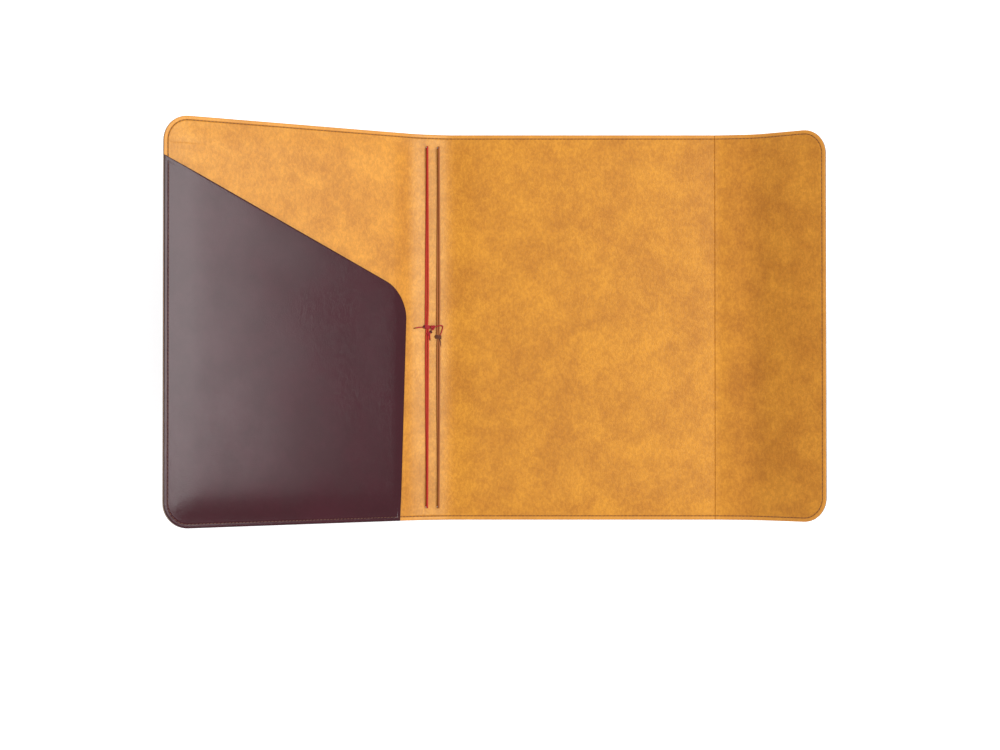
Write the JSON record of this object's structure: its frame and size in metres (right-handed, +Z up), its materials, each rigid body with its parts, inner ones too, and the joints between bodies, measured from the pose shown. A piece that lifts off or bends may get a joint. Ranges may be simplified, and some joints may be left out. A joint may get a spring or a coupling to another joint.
{
  "type": "portfolio case",
  "caption": "Flat leather portfolio case lying open: front cover with a diagonal pocket, soft spine with two elastic cords, back panel and a fold-over flap.",
  "frame": {"origin": "centre of the back panel's underside, on the table", "axes": "+X across the case towards the flap, -X to the front cover, +Y up to the top edge, +Z up off the table"},
  "size_m": [0.5159, 0.315, 0.1223],
  "materials": {
    "plum_leather": "polished",
    "tan_leather": "matte",
    "stiffener_board": "matte",
    "seam_thread": "matte",
    "red_elastic": "satin",
    "brown_elastic": "satin",
    "crimson_cord": "satin"
  },
  "bodies": {
    "back_panel": {"back_outer_leather": "plum_leather", "back_board": "stiffener_board", "back_lining": "tan_leather", "back_seam_thread": "seam_thread"},
    "spine": {"spine_outer_leather": "plum_leather", "spine_lining": "tan_leather", "spine_seam_thread": "seam_thread", "red_elastic": "red_elastic", "brown_elastic": "brown_elastic", "red_elastic_knot": "red_elastic", "brown_elastic_knot": "brown_elastic", "centre_knot": "crimson_cord"},
    "front_cover": {"front_outer_leather": "plum_leather", "front_board": "stiffener_board", "front_lining": "tan_leather", "front_seam_thread": "seam_thread", "pocket_leather": "plum_leather"},
    "gusset": {"gusset_outer_leather": "plum_leather", "gusset_lining": "tan_leather", "gusset_seam_thread": "seam_thread"},
    "flap": {"flap_outer_leather": "plum_leather", "flap_board": "stiffener_board", "flap_lining": "tan_leather", "flap_seam_thread": "seam_thread"}
  },
  "joints": [
    {"name": "spine_fold", "type": "hinge", "parent": "back_panel", "child": "spine", "pos_m": [-0.1105, 0, 0.0022], "axis": [0, 1, 0], "range_deg": [-14.4, 75.6]},
    {"name": "cover_fold", "type": "hinge", "parent": "spine", "child": "front_cover", "pos_m": [-0.13568, 0, 0.00867], "axis": [0, 1, 0], "range_deg": [-16.7, 73.3]},
    {"name": "gusset_fold", "type": "hinge", "parent": "back_panel", "child": "gusset", "pos_m": [0.1105, 0, 0.0022], "axis": [0, -1, 0], "range_deg": [-8.5, 81.5]},
    {"name": "flap_fold", "type": "hinge", "parent": "gusset", "child": "flap", "pos_m": [0.14017, 0, 0.00663], "axis": [0, -1, 0], "range_deg": [-27.5, 62.5]}
  ]
}
